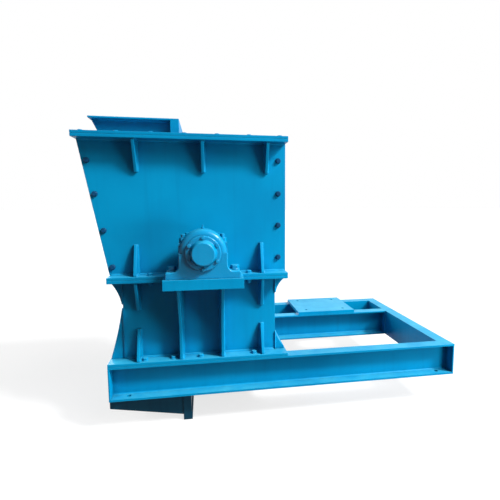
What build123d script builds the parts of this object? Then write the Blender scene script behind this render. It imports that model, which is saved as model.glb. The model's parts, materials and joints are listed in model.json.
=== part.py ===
"""Hammer crusher on a welded channel frame, with its rotor, bearings, grate and discharge chute.

Millimetres. X runs along the frame, from the crusher to the motor end, with 0 at the housing's middle.
Y runs from the front beam (0 at the middle of its flange) to the rear beam. Z is 0 on the frame's underside.
"""

import os
from math import cos, radians, sin, sqrt

from build123d import *

os.makedirs("parts", exist_ok=True)

# Frame channels
channel_height = 160
channel_flange = 65
channel_web = 8.5
channel_flange_thickness = 10
channel_root_radius = 8
frame_left_margin = 13
frame_right_reach = 1282
beam_spacing = 680
motor_beam_spacing = 295
end_plate = 8
anchor_hole_radius = 11
anchor_end_distance = 80

# Motor plate
motor_plate_length = 380
motor_plate_thickness = 20
motor_plate_end_gap = 290
motor_hole_spacing = 254
motor_hole_radius = 9

# Housing walls and flanges
wall = 12
flange_reach = 70
flange_thickness = 14
end_flange_reach = 51
weld_gap = 0.5
lower_length = 700
lower_wall_height = 361
upper_wall_height = 595
upper_lean = 110
top_overhang = 4
top_plate_thickness = 12

# Feed inlet
inlet_length = 305
inlet_left_gap = 88
inlet_inset = 30
inlet_plate = 8
inlet_height = 63
inlet_flange = 36
inlet_end_beam_width = 38

# Gussets and ribs
gusset_thickness = 13
gusset_height = 138
gusset_nose = 12
gusset_inset = 6
upper_gusset_spacing = 290
upper_gusset_shift = 19
side_gusset_spacing = 566
bracket_rib_spacing = 188
bracket_rib_taper_height = 190
end_gusset_nose = 5
end_gusset_sag = 9
left_head_gusset_height = 108
right_head_gusset_height = 80
left_foot_gusset_height = 236
right_foot_gusset_height = 90

# Bearings
bearing_height = 110
bearing_depth = 110
bearing_offset = 110
bearing_foot_length = 322
bearing_foot_height = 30
bearing_body_width = 208
bearing_cap_radius = 102
bearing_crown_radius = 24
bearing_boss_spacing = 168
bearing_boss_width = 40
bearing_boss_depth = 64
bearing_boss_height = 42
bearing_spot_radius = 20
bearing_edge_radius = 8
bearing_casting_radius = 6
bearing_foot_fillet = 28
running_clearance = 0.05
bracket_length = 342
bracket_depth = 110
bracket_height = 45
bracket_plate = 20
bracket_skirt = 12
cover_radius = 76
cover_thickness = 14
cover_nose_radius = 58
cover_nose_tip_radius = 46
front_nose_thickness = 32
rear_nose_thickness = 10
cover_chamfer = 4
shaft_gap = 6

# Rotor
shaft_x = 14
journal_radius = 37.5
shaft_radius = 55
shaft_wall_gap = 10
shaft_end_gap = 8
drive_radius = 32.5
drive_length = 140
drive_setback = 12
key_width = 18
key_depth = 7
key_length = 110
key_angle = 22.5
shaft_chamfer = 3
rotor_end_gap = 24
rotor_side_gap = 30.5
disc_radius = 190
disc_thickness = 20
disc_count = 6
pin_circle_radius = 150
pin_radius = 18
pin_overhang = 8
pin_gap = 0.3
pin_rows = 4
hammer_width = 90
hammer_side_gap = 10
hammer_tail = 45
hammer_tip_chamfer = 10

# Shaft seal
seal_plate = 6
seal_half_width = 76
seal_head_room = 78
notch_margin = 14

# Grate
grate_gap = 22
grate_depth = 30
grate_cheek = 10
grate_bar_width = 20
grate_bar_count = 15
grate_bar_angle = 8
grate_cheek_angle = 6
lowest_angle = 270

# Discharge
chute_plate = 5
chute_length = 286
chute_drop = 133
chute_left_drop = 70
chute_lip_reach = 80
chute_frame_gap = 8
chute_angle_leg = 37
chute_angle_drop = 20
slope_plate = 8
slope_rise = 160

# Places worked out from the sizes above
cut_overrun = 1
half_flange = channel_flange / 2
flange_length = lower_length + 2 * end_flange_reach
frame_left_reach = flange_length / 2 + frame_left_margin
frame_length = frame_left_reach + frame_right_reach
motor_plate_left = frame_right_reach - motor_plate_end_gap - motor_plate_length
rear_beam_y = beam_spacing + motor_beam_spacing
left_cross_inner = channel_flange - frame_left_reach
right_cross_inner = frame_right_reach - channel_flange
housing_y = beam_spacing / 2
housing_width = beam_spacing + channel_flange - 2 * flange_reach
inner_half_width = housing_width / 2 - wall
inner_front = housing_y - inner_half_width
inner_rear = housing_y + inner_half_width
flange_edge = housing_width / 2 + flange_reach
inner_half_length = lower_length / 2 - wall
upper_reach = flange_length / 2
inner_cross_right = (flange_length / 2 + inner_half_length + channel_flange) / 2

base_z = channel_height
lower_wall_z = base_z + flange_thickness
lower_flange_z = lower_wall_z + lower_wall_height
upper_flange_z = lower_flange_z + flange_thickness
upper_wall_z = upper_flange_z + flange_thickness
top_flange_z = upper_wall_z + upper_wall_height
top_plate_z = top_flange_z + flange_thickness
roof_z = top_plate_z + top_plate_thickness
shaft_z = upper_wall_z + bearing_height
top_left_reach = upper_reach + upper_lean
rotor_radius = inner_half_length - abs(shaft_x) - rotor_end_gap
disc_pitch = (2 * inner_half_width - 2 * rotor_side_gap - disc_thickness) / (disc_count - 1)
hammer_thickness = disc_pitch - disc_thickness - 2 * hammer_side_gap
sides = (("front", -1), ("rear", 1))
low_corner = (Align.MIN, Align.MIN, Align.MIN)


def save(part, label):
    """Label a finished piece and write it under its own name."""
    part.label = label
    export_step(part, f"parts/{label}.step")


def block(x_span, y_span, z_span, mode=Mode.ADD):
    """A straight bar or plate between two places on each axis, inside the open part."""
    spans = [(min(span), max(span)) for span in (x_span, y_span, z_span)]
    with Locations(tuple(low for low, high in spans)):
        Box(*(high - low for low, high in spans), align=low_corner, mode=mode)


def side_face(sign, distance):
    """The Y place at a distance from the housing's middle, on the front (-1) or the rear (1)."""
    return housing_y + sign * distance


def channel(origin, open_side, length):
    """A rolled channel, its web's back on the origin and its flanges pointing to the open side."""
    direction = Vector(*open_side)
    section = Plane(origin=origin, x_dir=direction, z_dir=direction.cross(Vector(0, 0, 1)))
    with BuildPart() as beam:
        with BuildSketch(section):
            Rectangle(channel_flange, channel_height, align=(Align.MIN, Align.MIN))
            with Locations((channel_web, channel_flange_thickness)):
                Rectangle(
                    channel_flange,
                    channel_height - 2 * channel_flange_thickness,
                    align=(Align.MIN, Align.MIN),
                    mode=Mode.SUBTRACT,
                )
        extrude(amount=length)
        along = beam.edges().filter_by(Axis(origin, tuple(section.z_dir)))
        depths = [(edge, section.to_local_coords(edge.center()).X) for edge in along]
        fillet([edge for edge, depth in depths if abs(depth - channel_web) < weld_gap], channel_root_radius)
    return beam


def flange_ring(z, x_span, inner_x_span):
    """Four flat bars round the housing, the end bars between the two side bars."""
    with BuildPart() as ring:
        z_span = (z, z + flange_thickness)
        for _, sign in sides:
            block(x_span, (side_face(sign, flange_edge), side_face(sign, inner_half_width)), z_span)
        end_y = (inner_front + weld_gap, inner_rear - weld_gap)
        block((x_span[0], inner_x_span[0]), end_y, z_span)
        block((inner_x_span[1], x_span[1]), end_y, z_span)
    return ring


def side_gusset(x, sign, z, up):
    """A triangular gusset between a side wall and a flange, pointing up (1) or down (-1) from height z."""
    wall_y = side_face(sign, housing_width / 2)
    tip_y = side_face(sign, flange_edge - gusset_inset)
    with BuildSketch(Plane.YZ.offset(x - gusset_thickness / 2)) as outline:
        with BuildLine():
            Polyline(
                (wall_y, z),
                (tip_y, z),
                (tip_y, z + up * gusset_nose),
                (wall_y + sign * gusset_nose, z + up * gusset_height),
                (wall_y, z + up * gusset_height),
                close=True,
            )
        make_face()
    extrude(outline.sketch, amount=gusset_thickness)


# Frame: three long channels, three cross channels and the plates that close the open ends
with BuildPart() as front_beam:
    add(channel((frame_right_reach, half_flange, 0), (0, -1, 0), frame_length).part)
    for x in (anchor_end_distance - frame_left_reach, frame_right_reach - anchor_end_distance):
        with Locations((x, 0, 0)):
            Cylinder(anchor_hole_radius, 2 * channel_flange_thickness + cut_overrun, mode=Mode.SUBTRACT)
save(front_beam.part, "front_beam")

with BuildPart() as rear_beam:
    add(channel((-frame_left_reach, rear_beam_y - half_flange, 0), (0, 1, 0), frame_length).part)
    for x in (anchor_end_distance - frame_left_reach, frame_right_reach - anchor_end_distance):
        with Locations((x, rear_beam_y, 0)):
            Cylinder(anchor_hole_radius, 2 * channel_flange_thickness + cut_overrun, mode=Mode.SUBTRACT)
save(rear_beam.part, "rear_beam")

middle_beam = channel(
    (right_cross_inner, beam_spacing + half_flange, 0), (0, -1, 0), right_cross_inner - left_cross_inner
)
save(middle_beam.part, "middle_beam")

cross_length = rear_beam_y - channel_flange
left_cross_beam = channel((left_cross_inner, half_flange, 0), (-1, 0, 0), cross_length)
save(left_cross_beam.part, "left_cross_beam")
right_cross_beam = channel((right_cross_inner, half_flange + cross_length, 0), (1, 0, 0), cross_length)
save(right_cross_beam.part, "right_cross_beam")
inner_cross_beam = channel(
    (inner_cross_right - channel_flange, beam_spacing - half_flange, 0),
    (1, 0, 0),
    beam_spacing - channel_flange,
)
save(inner_cross_beam.part, "inner_cross_beam")

with BuildPart() as frame_end_plates:
    open_reach = channel_flange - channel_web
    plate_height = channel_height - 2 * channel_flange_thickness
    for x in (-frame_left_reach, frame_right_reach - end_plate):
        for edge_y, inward in ((-half_flange, 1), (rear_beam_y + half_flange, -1)):
            with BuildSketch(Plane.YZ.offset(x)) as end_outline:
                with Locations((edge_y + inward * open_reach / 2, channel_height / 2)):
                    Rectangle(open_reach, plate_height)
                web_corners = end_outline.vertices().sort_by(Axis.X, reverse=inward > 0)[:2]
                chamfer(web_corners, channel_root_radius)
            extrude(amount=end_plate)
save(frame_end_plates.part, "frame_end_plates")

with BuildPart() as motor_plate:
    plate_y = (beam_spacing - half_flange, rear_beam_y + half_flange)
    plate_z = (channel_height, channel_height + motor_plate_thickness)
    block((motor_plate_left, motor_plate_left + motor_plate_length), plate_y, plate_z)
    with Locations((motor_plate_left + motor_plate_length / 2, sum(plate_y) / 2, plate_z[1])):
        with GridLocations(motor_hole_spacing, motor_hole_spacing, 2, 2):
            Hole(motor_hole_radius, motor_plate_thickness)
save(motor_plate.part, "motor_plate")

# Flange rings of the housing
body_span = (-flange_length / 2, flange_length / 2)
inner_span = (-inner_half_length, inner_half_length)
base_span = (-frame_left_reach, flange_length / 2)
save(flange_ring(base_z, base_span, inner_span).part, "base_flange")
save(flange_ring(lower_flange_z, body_span, inner_span).part, "lower_flange")
save(flange_ring(upper_flange_z, body_span, inner_span).part, "upper_flange")
roof_span = (-top_left_reach - top_overhang, flange_length / 2)
roof_inner_span = (wall - top_left_reach, upper_reach - wall)
save(flange_ring(top_flange_z, roof_span, roof_inner_span).part, "top_flange")

# Lower housing: four plain walls
for name, sign in sides:
    with BuildPart() as lower_side_wall:
        block(
            (-lower_length / 2, lower_length / 2),
            (side_face(sign, inner_half_width), side_face(sign, housing_width / 2)),
            (lower_wall_z, lower_flange_z),
        )
    save(lower_side_wall.part, f"lower_{name}_wall")

with BuildPart() as lower_end_walls:
    for end in (-1, 1):
        block(
            (end * inner_half_length, end * lower_length / 2),
            (inner_front, inner_rear),
            (lower_wall_z, lower_flange_z),
        )
save(lower_end_walls.part, "lower_end_walls")

# Upper housing: side walls with a shaft notch, a leaning left wall and an upright right wall
for name, sign in sides:
    outer = side_face(sign, housing_width / 2)
    with BuildPart() as upper_side_wall:
        with BuildSketch(Plane.XZ.offset(-min(outer, side_face(sign, inner_half_width)))):
            with BuildLine():
                Polyline(
                    (-upper_reach, upper_wall_z),
                    (upper_reach, upper_wall_z),
                    (upper_reach, top_flange_z),
                    (-top_left_reach, top_flange_z),
                    close=True,
                )
            make_face()
            notch_radius = journal_radius + notch_margin
            with Locations((shaft_x, shaft_z)):
                Circle(notch_radius, mode=Mode.SUBTRACT)
                Rectangle(
                    2 * notch_radius, 2 * bearing_height, align=(Align.CENTER, Align.MAX), mode=Mode.SUBTRACT
                )
        extrude(amount=-wall)
    save(upper_side_wall.part, f"upper_{name}_wall")

with BuildPart() as upper_left_wall:
    with BuildSketch(Plane.XZ.offset(-inner_front)):
        with BuildLine():
            Polyline(
                (-upper_reach, upper_wall_z),
                (wall - upper_reach, upper_wall_z),
                (wall - top_left_reach, top_flange_z),
                (-top_left_reach, top_flange_z),
                close=True,
            )
        make_face()
    extrude(amount=-2 * inner_half_width)
save(upper_left_wall.part, "upper_left_wall")

with BuildPart() as upper_right_wall:
    block(
        (upper_reach - wall, upper_reach),
        (inner_front, inner_rear),
        (upper_wall_z, top_flange_z),
    )
save(upper_right_wall.part, "upper_right_wall")

# Top plate and the feed inlet that stands on it
inlet_outer_x = (inlet_left_gap - top_left_reach, inlet_left_gap - top_left_reach + inlet_length)
inlet_outer_half = housing_width / 2 - inlet_inset
inlet_inner_x = (inlet_outer_x[0] + inlet_plate, inlet_outer_x[1])
inlet_inner_half = inlet_outer_half - inlet_plate
with BuildPart() as top_plate:
    block(roof_span, (side_face(-1, flange_edge), side_face(1, flange_edge)), (top_plate_z, roof_z))
    block(
        inlet_inner_x,
        (side_face(-1, inlet_inner_half), side_face(1, inlet_inner_half)),
        (top_plate_z - cut_overrun, roof_z + cut_overrun),
        mode=Mode.SUBTRACT,
    )
save(top_plate.part, "top_plate")

inlet_rim_z = roof_z + inlet_height
inlet_rim_left = inlet_outer_x[0] - inlet_flange
inlet_rim_half = inlet_outer_half + inlet_flange
between_inlet_sides = (side_face(-1, inlet_inner_half - weld_gap), side_face(1, inlet_inner_half - weld_gap))
with BuildPart() as inlet_walls:
    for _, sign in sides:
        near = min(side_face(sign, inlet_outer_half), side_face(sign, inlet_inner_half))
        with BuildSketch(Plane.XZ.offset(-near)):
            with BuildLine():
                Polyline(
                    (inlet_outer_x[0], roof_z),
                    (inlet_outer_x[1], roof_z),
                    (inlet_outer_x[1], inlet_rim_z),
                    (inlet_rim_left + gusset_inset, inlet_rim_z),
                    close=True,
                )
            make_face()
        extrude(amount=-inlet_plate)
    block((inlet_outer_x[0], inlet_inner_x[0]), between_inlet_sides, (roof_z, inlet_rim_z))
save(inlet_walls.part, "inlet_walls")

with BuildPart() as inlet_rim:
    rim_z = (inlet_rim_z, inlet_rim_z + inlet_plate)
    for _, sign in sides:
        rim_y = (side_face(sign, inlet_rim_half), side_face(sign, inlet_inner_half))
        block((inlet_rim_left, inlet_outer_x[1]), rim_y, rim_z)
    block((inlet_rim_left, inlet_inner_x[0]), between_inlet_sides, rim_z)
save(inlet_rim.part, "inlet_rim")

with BuildPart() as inlet_end_beam:
    block(
        (inlet_outer_x[1], inlet_outer_x[1] + inlet_end_beam_width),
        (side_face(-1, inlet_rim_half), side_face(1, inlet_rim_half)),
        (roof_z, inlet_rim_z + inlet_plate),
    )
save(inlet_end_beam.part, "inlet_end_beam")

# Gussets on the side walls, and the two tapered ribs that carry each bearing bracket
bracket_front = flange_edge + bracket_depth
gusset_pair = (-side_gusset_spacing / 2, side_gusset_spacing / 2)
with BuildPart() as upper_gussets:
    for _, sign in sides:
        for i in (-1, 0, 1):
            side_gusset(upper_gusset_shift + i * upper_gusset_spacing, sign, top_flange_z, -1)
        for x in gusset_pair:
            side_gusset(x, sign, upper_wall_z, 1)
save(upper_gussets.part, "upper_gussets")

with BuildPart() as lower_gussets:
    for _, sign in sides:
        for x in gusset_pair:
            side_gusset(x, sign, lower_flange_z, -1)
            side_gusset(x, sign, lower_wall_z, 1)
save(lower_gussets.part, "lower_gussets")

with BuildPart() as bracket_ribs:
    under_plate = upper_wall_z - bracket_plate
    under_skirt = upper_wall_z - bracket_height
    for _, sign in sides:
        foot_y = side_face(sign, flange_edge - gusset_inset)
        for x in (-bracket_rib_spacing / 2, bracket_rib_spacing / 2):
            with BuildSketch(Plane.YZ.offset(x - gusset_thickness / 2)):
                with BuildLine():
                    Polyline(
                        (side_face(sign, housing_width / 2), lower_wall_z),
                        (foot_y, lower_wall_z),
                        (foot_y, under_skirt - bracket_rib_taper_height),
                        (side_face(sign, bracket_front - bracket_skirt), under_skirt),
                        (side_face(sign, bracket_front - bracket_skirt), under_plate),
                        (side_face(sign, flange_edge), under_plate),
                        (side_face(sign, flange_edge), lower_flange_z),
                        (side_face(sign, housing_width / 2), lower_flange_z),
                        close=True,
                    )
                make_face()
            extrude(amount=gusset_thickness)
save(bracket_ribs.part, "bracket_ribs")

# Hollow-edged gussets in line with the side walls on both ends of the lower housing
with BuildPart() as end_gussets:
    for end, head_height, foot_height, foot_edge in (
        (-1, left_head_gusset_height, left_foot_gusset_height, base_span[0]),
        (1, right_head_gusset_height, right_foot_gusset_height, base_span[1]),
    ):
        wall_x = end * lower_length / 2
        head_edge = end * flange_length / 2
        nose_x = wall_x + end * end_gusset_nose
        for y in (side_face(-1, housing_width / 2), housing_y - wall / 2, side_face(1, inner_half_width)):
            for z, up, height, edge in (
                (lower_flange_z, -1, head_height, head_edge),
                (lower_wall_z, 1, foot_height, foot_edge),
            ):
                tip_x = edge - end * gusset_inset
                tip = Vector(tip_x, z + up * gusset_nose)
                nose = Vector(nose_x, z + up * height)
                corner = Vector(wall_x, z)
                chord_middle = (tip + nose) / 2
                hollow = chord_middle + (corner - chord_middle).normalized() * end_gusset_sag
                with BuildSketch(Plane.XZ.offset(-y)):
                    with BuildLine():
                        Polyline(nose, (wall_x, z + up * height), corner, (tip_x, z), tip)
                        ThreePointArc(tip, hollow, nose)
                    make_face()
                extrude(amount=-wall)
save(end_gussets.part, "end_gussets")

# Bearing brackets: a thick plate with a skirt on three sides, level with the upper flange
for name, sign in sides:
    with BuildPart() as bracket:
        block(
            (shaft_x - bracket_length / 2, shaft_x + bracket_length / 2),
            (side_face(sign, flange_edge), side_face(sign, bracket_front)),
            (upper_wall_z - bracket_height, upper_wall_z),
        )
        block(
            (shaft_x + bracket_skirt - bracket_length / 2, shaft_x + bracket_length / 2 - bracket_skirt),
            (side_face(sign, flange_edge - cut_overrun), side_face(sign, bracket_front - bracket_skirt)),
            (upper_wall_z - bracket_height - cut_overrun, upper_wall_z - bracket_plate),
            mode=Mode.SUBTRACT,
        )
    save(bracket.part, f"{name}_bearing_bracket")

# Split plummer blocks: a footed base, a rounded cap with two spot-faced bosses, and turned end covers
bore_radius = journal_radius + running_clearance
for name, sign in sides:
    block_start = side_face(sign, housing_width / 2 + bearing_offset) - bearing_depth / 2
    section = Plane.XZ.offset(-block_start)
    with BuildPart() as bearing_base:
        with BuildSketch(section):
            with Locations((shaft_x, upper_wall_z)):
                Rectangle(bearing_foot_length, bearing_foot_height, align=(Align.CENTER, Align.MIN))
                Rectangle(bearing_body_width, bearing_height, align=(Align.CENTER, Align.MIN))
            foot_reach = bearing_foot_length / 2 - cut_overrun
            on_foot = [v for v in vertices() if abs(v.Y - upper_wall_z - bearing_foot_height) < cut_overrun]
            fillet([v for v in on_foot if abs(v.X - shaft_x) < foot_reach], bearing_foot_fillet)
            foot_corners = [v for v in vertices() if abs(v.X - shaft_x) > foot_reach]
            fillet([v for v in foot_corners if v.Y > upper_wall_z + cut_overrun], bearing_edge_radius)
            with Locations((shaft_x, shaft_z)):
                Circle(bore_radius, mode=Mode.SUBTRACT)
        extrude(amount=-bearing_depth)
        ends = bearing_base.faces().sort_by(Axis.Y)
        rims = ends[0].outer_wire().edges() + ends[-1].outer_wire().edges()
        fillet([e for e in rims if upper_wall_z < e.center().Z < shaft_z], bearing_casting_radius)
    save(bearing_base.part, f"{name}_bearing_base")

    with BuildPart() as bearing_cap:
        with BuildSketch(section):
            with Locations((shaft_x, shaft_z)):
                Circle(bearing_cap_radius)
                Rectangle(
                    2 * bearing_cap_radius,
                    bearing_cap_radius,
                    align=(Align.CENTER, Align.MAX),
                    mode=Mode.SUBTRACT,
                )
        extrude(amount=-bearing_depth)
        fillet(bearing_cap.edges().filter_by(GeomType.CIRCLE), bearing_crown_radius)
        block_middle = block_start + bearing_depth / 2
        boss_places = [(shaft_x + side * bearing_boss_spacing / 2, block_middle) for side in (-1, 1)]
        with BuildSketch(Plane.XY.offset(shaft_z)):
            with Locations(boss_places):
                Rectangle(bearing_boss_width, bearing_boss_depth)
        extrude(amount=bearing_boss_height)
        with BuildSketch(Plane.XY.offset(shaft_z + bearing_boss_height)):
            with Locations(boss_places):
                Circle(bearing_spot_radius)
        extrude(amount=bearing_cap_radius, mode=Mode.SUBTRACT)
        with BuildSketch(section):
            with Locations((shaft_x, shaft_z)):
                Circle(bore_radius)
        extrude(amount=-bearing_depth, mode=Mode.SUBTRACT)
    save(bearing_cap.part, f"{name}_bearing_cap")

    cover_start = side_face(sign, housing_width / 2 + bearing_offset + bearing_depth / 2)
    hole_radius, nose_thickness = (
        (0, front_nose_thickness) if sign < 0 else (journal_radius + shaft_gap, rear_nose_thickness)
    )
    nose_end = cover_thickness + nose_thickness
    with BuildPart() as cover:
        half = Plane(origin=(shaft_x, cover_start, shaft_z), x_dir=(0, sign, 0), z_dir=(sign, 0, 0))
        with BuildSketch(half):
            with BuildLine():
                Polyline(
                    (0, hole_radius),
                    (0, cover_radius),
                    (cover_thickness - cover_chamfer, cover_radius),
                    (cover_thickness, cover_radius - cover_chamfer),
                    (cover_thickness, cover_nose_radius),
                    (nose_end - cover_chamfer, cover_nose_tip_radius + cover_chamfer),
                    (nose_end, cover_nose_tip_radius),
                    (nose_end, hole_radius),
                    close=True,
                )
            make_face()
        revolve(axis=Axis((shaft_x, 0, shaft_z), (0, 1, 0)))
    save(cover.part, f"{name}_bearing_cover")

# Plates that close the shaft notches
with BuildPart() as shaft_seals:
    for _, sign in sides:
        near = side_face(sign, housing_width / 2)
        with BuildSketch(Plane.XZ.offset(-near)):
            with Locations((shaft_x, upper_wall_z)):
                Rectangle(
                    2 * seal_half_width, bearing_height + seal_head_room, align=(Align.CENTER, Align.MIN)
                )
            with Locations((shaft_x, shaft_z)):
                Circle(journal_radius + shaft_gap, mode=Mode.SUBTRACT)
        extrude(amount=-sign * seal_plate)
save(shaft_seals.part, "shaft_seals")

# Rotor: a stepped shaft, discs, hammer pins and hammers
axis_base = Plane(origin=(shaft_x, 0, shaft_z), x_dir=(1, 0, 0), z_dir=(0, 1, 0))
front_block_end = side_face(-1, housing_width / 2 + bearing_offset + bearing_depth / 2)
rear_cover_end = side_face(1, housing_width / 2 + bearing_offset + bearing_depth / 2 + cover_thickness)
drive_start = rear_cover_end + rear_nose_thickness + drive_setback
with BuildPart() as rotor_shaft:
    for radius, start, end in (
        (journal_radius, front_block_end + shaft_end_gap, drive_start),
        (shaft_radius, inner_front + shaft_wall_gap, inner_rear - shaft_wall_gap),
        (drive_radius, drive_start, drive_start + drive_length),
    ):
        with BuildSketch(axis_base.offset(start)):
            Circle(radius)
        extrude(amount=end - start)
    chamfer(rotor_shaft.edges().filter_by(GeomType.CIRCLE).sort_by(Axis.Y)[-1], shaft_chamfer)
    with Locations(Location((shaft_x, drive_start + drive_length, shaft_z), (0, key_angle, 0))):
        with Locations((0, 0, drive_radius)):
            Box(key_width, 2 * key_length, 2 * key_depth, mode=Mode.SUBTRACT)
save(rotor_shaft.part, "rotor_shaft")

disc_places = [housing_y + disc_pitch * (i - (disc_count - 1) / 2) for i in range(disc_count)]
with BuildPart() as rotor_discs:
    for y in disc_places:
        with BuildSketch(axis_base.offset(y - disc_thickness / 2)):
            Circle(disc_radius)
            Circle(shaft_radius, mode=Mode.SUBTRACT)
            with PolarLocations(pin_circle_radius, pin_rows):
                Circle(pin_radius + pin_gap, mode=Mode.SUBTRACT)
        extrude(amount=disc_thickness)
save(rotor_discs.part, "rotor_discs")

pin_start = disc_places[0] - disc_thickness / 2 - pin_overhang
pin_end = disc_places[-1] + disc_thickness / 2 + pin_overhang
with BuildPart() as hammer_pins:
    with BuildSketch(axis_base.offset(pin_start)):
        with PolarLocations(pin_circle_radius, pin_rows):
            Circle(pin_radius)
    extrude(amount=pin_end - pin_start)
save(hammer_pins.part, "hammer_pins")

hammer_length = rotor_radius - pin_circle_radius + hammer_tail
with BuildPart() as hammers:
    for y in disc_places[:-1]:
        with BuildSketch(axis_base.offset(y + (disc_pitch - hammer_thickness) / 2)) as hammer_row:
            with PolarLocations(pin_circle_radius, pin_rows):
                with Locations((-hammer_tail, 0)):
                    Rectangle(hammer_length, hammer_width, align=(Align.MIN, Align.CENTER))
            tips = [v for v in hammer_row.vertices() if sqrt(v.X**2 + v.Y**2) > disc_radius]
            chamfer(tips, hammer_tip_chamfer)
            with PolarLocations(pin_circle_radius, pin_rows):
                Circle(pin_radius + pin_gap, mode=Mode.SUBTRACT)
        extrude(amount=hammer_thickness)
save(hammers.part, "hammers")

# Grate under the rotor: bars between two curved cheeks on the side walls
grate_radius = rotor_radius + grate_gap
grate_half_angle = grate_bar_angle * (grate_bar_count - 1) / 2
cheek_half_angle = grate_half_angle + grate_cheek_angle
with BuildPart() as grate_cheeks:
    for _, sign in sides:
        cheek_start = min(side_face(sign, inner_half_width), side_face(sign, inner_half_width - grate_cheek))
        with BuildSketch(Plane.XZ.offset(-cheek_start)):
            with BuildLine():
                ends = []
                first_angle = lowest_angle - cheek_half_angle
                for radius in (grate_radius, grate_radius + grate_depth):
                    arc = CenterArc((shaft_x, shaft_z), radius, first_angle, 2 * cheek_half_angle)
                    ends.append((arc @ 0, arc @ 1))
                Line(ends[0][0], ends[1][0])
                Line(ends[0][1], ends[1][1])
            make_face()
        extrude(amount=-grate_cheek)
save(grate_cheeks.part, "grate_cheeks")

with BuildPart() as grate_bars:
    bar_middle = grate_radius + grate_depth / 2
    with BuildSketch(Plane.XZ.offset(-inner_front - grate_cheek)):
        for i in range(grate_bar_count):
            angle = lowest_angle - grate_half_angle + i * grate_bar_angle
            bar_x = shaft_x + bar_middle * cos(radians(angle))
            bar_z = shaft_z + bar_middle * sin(radians(angle))
            with Locations(Location((bar_x, bar_z, 0), (0, 0, angle))):
                Rectangle(grate_depth, grate_bar_width)
    extrude(amount=-(2 * inner_half_width - 2 * grate_cheek))
save(grate_bars.part, "grate_bars")

# Discharge: a slope inside the housing leads to a chute with a slanted mouth below the frame
chute_left = left_cross_inner + chute_plate
chute_right = chute_left + chute_length
with BuildPart() as slope:
    with BuildSketch(Plane.XZ.offset(-inner_front)):
        with BuildLine():
            Polyline(
                (chute_right, lower_wall_z),
                (inner_half_length, lower_wall_z + slope_rise),
                (inner_half_length, lower_wall_z + slope_rise + slope_plate),
                (chute_right, lower_wall_z + slope_plate),
                close=True,
            )
        make_face()
    extrude(amount=-2 * inner_half_width)
save(slope.part, "discharge_slope")

mouth_slant = (chute_drop - chute_left_drop) / (chute_length + chute_plate + chute_lip_reach)
chute_wall_drop = chute_left_drop + mouth_slant * chute_lip_reach
with BuildPart() as discharge_chute:
    for _, sign in sides:
        near = min(side_face(sign, inner_half_width), side_face(sign, inner_half_width + chute_plate))
        with BuildSketch(Plane.XZ.offset(-near)):
            with BuildLine():
                Polyline(
                    (chute_left - chute_plate, base_z),
                    (chute_right, base_z),
                    (chute_right, -chute_drop),
                    (chute_left - chute_plate - chute_lip_reach, -chute_left_drop),
                    (chute_left - chute_plate - chute_lip_reach, -chute_frame_gap),
                    (chute_left - chute_plate, -chute_frame_gap),
                    close=True,
                )
            make_face()
        extrude(amount=-chute_plate)
    end_y = (inner_front + weld_gap, inner_rear - weld_gap)
    block((chute_left - chute_plate, chute_left), end_y, (-chute_wall_drop, base_z))
    block((chute_right - chute_plate, chute_right), end_y, (-chute_drop, base_z))
save(discharge_chute.part, "discharge_chute")

with BuildPart() as chute_edge_angles:
    for _, sign in sides:
        face = inner_half_width + chute_plate
        block(
            (chute_right - chute_angle_leg, chute_right),
            (side_face(sign, face), side_face(sign, face + chute_plate)),
            (-chute_drop - chute_angle_drop, -chute_frame_gap),
        )
    angle_half = inner_half_width + 2 * chute_plate
    block(
        (chute_right, chute_right + chute_plate),
        (side_face(-1, angle_half), side_face(1, angle_half)),
        (-chute_drop - chute_angle_drop, -chute_drop - chute_angle_drop + chute_angle_leg),
    )
save(chute_edge_angles.part, "chute_edge_angles")
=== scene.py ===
"""Looks of the hammer crusher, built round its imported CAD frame. Metres, in the CAD's own frame."""

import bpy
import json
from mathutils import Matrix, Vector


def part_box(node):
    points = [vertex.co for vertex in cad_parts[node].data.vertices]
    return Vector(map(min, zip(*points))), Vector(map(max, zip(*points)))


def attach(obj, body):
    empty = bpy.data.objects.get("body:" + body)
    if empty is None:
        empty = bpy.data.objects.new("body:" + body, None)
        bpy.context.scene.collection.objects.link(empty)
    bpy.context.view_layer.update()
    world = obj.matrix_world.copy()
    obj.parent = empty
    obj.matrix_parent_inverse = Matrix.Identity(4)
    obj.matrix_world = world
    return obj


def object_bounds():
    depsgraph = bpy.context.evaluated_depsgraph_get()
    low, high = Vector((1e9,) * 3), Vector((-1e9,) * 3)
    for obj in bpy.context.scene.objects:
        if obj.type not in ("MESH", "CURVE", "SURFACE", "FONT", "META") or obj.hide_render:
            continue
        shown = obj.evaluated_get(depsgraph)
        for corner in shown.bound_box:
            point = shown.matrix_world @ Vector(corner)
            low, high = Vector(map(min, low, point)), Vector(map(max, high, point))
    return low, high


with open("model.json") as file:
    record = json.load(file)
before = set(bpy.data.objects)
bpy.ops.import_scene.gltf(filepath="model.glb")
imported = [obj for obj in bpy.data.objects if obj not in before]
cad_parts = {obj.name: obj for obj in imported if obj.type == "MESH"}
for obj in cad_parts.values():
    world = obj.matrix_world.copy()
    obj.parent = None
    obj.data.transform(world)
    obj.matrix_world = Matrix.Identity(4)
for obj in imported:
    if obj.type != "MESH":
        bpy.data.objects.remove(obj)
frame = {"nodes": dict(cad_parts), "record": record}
CAD_BOX = [list(corner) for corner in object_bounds()]

import json
import logging
import math
from dataclasses import dataclass, replace
from enum import Enum
from typing import Any, Iterable

import bpy
import numpy as np
from mathutils import Euler

Array = np.ndarray
Pair = tuple[float, float]
Place = tuple[float, float, float]
Line = tuple[Any, Any, Array, Array]
Socket = bpy.types.NodeSocket
MM = 0.001
DIGITS = 5
WHITE = "FFFFFF"
HOUSING = "housing"
ORIGIN: Place = (0.0, 0.0, 0.0)
X, Y, Z = np.eye(3)
log = logging.getLogger("hammer_crusher")


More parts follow.
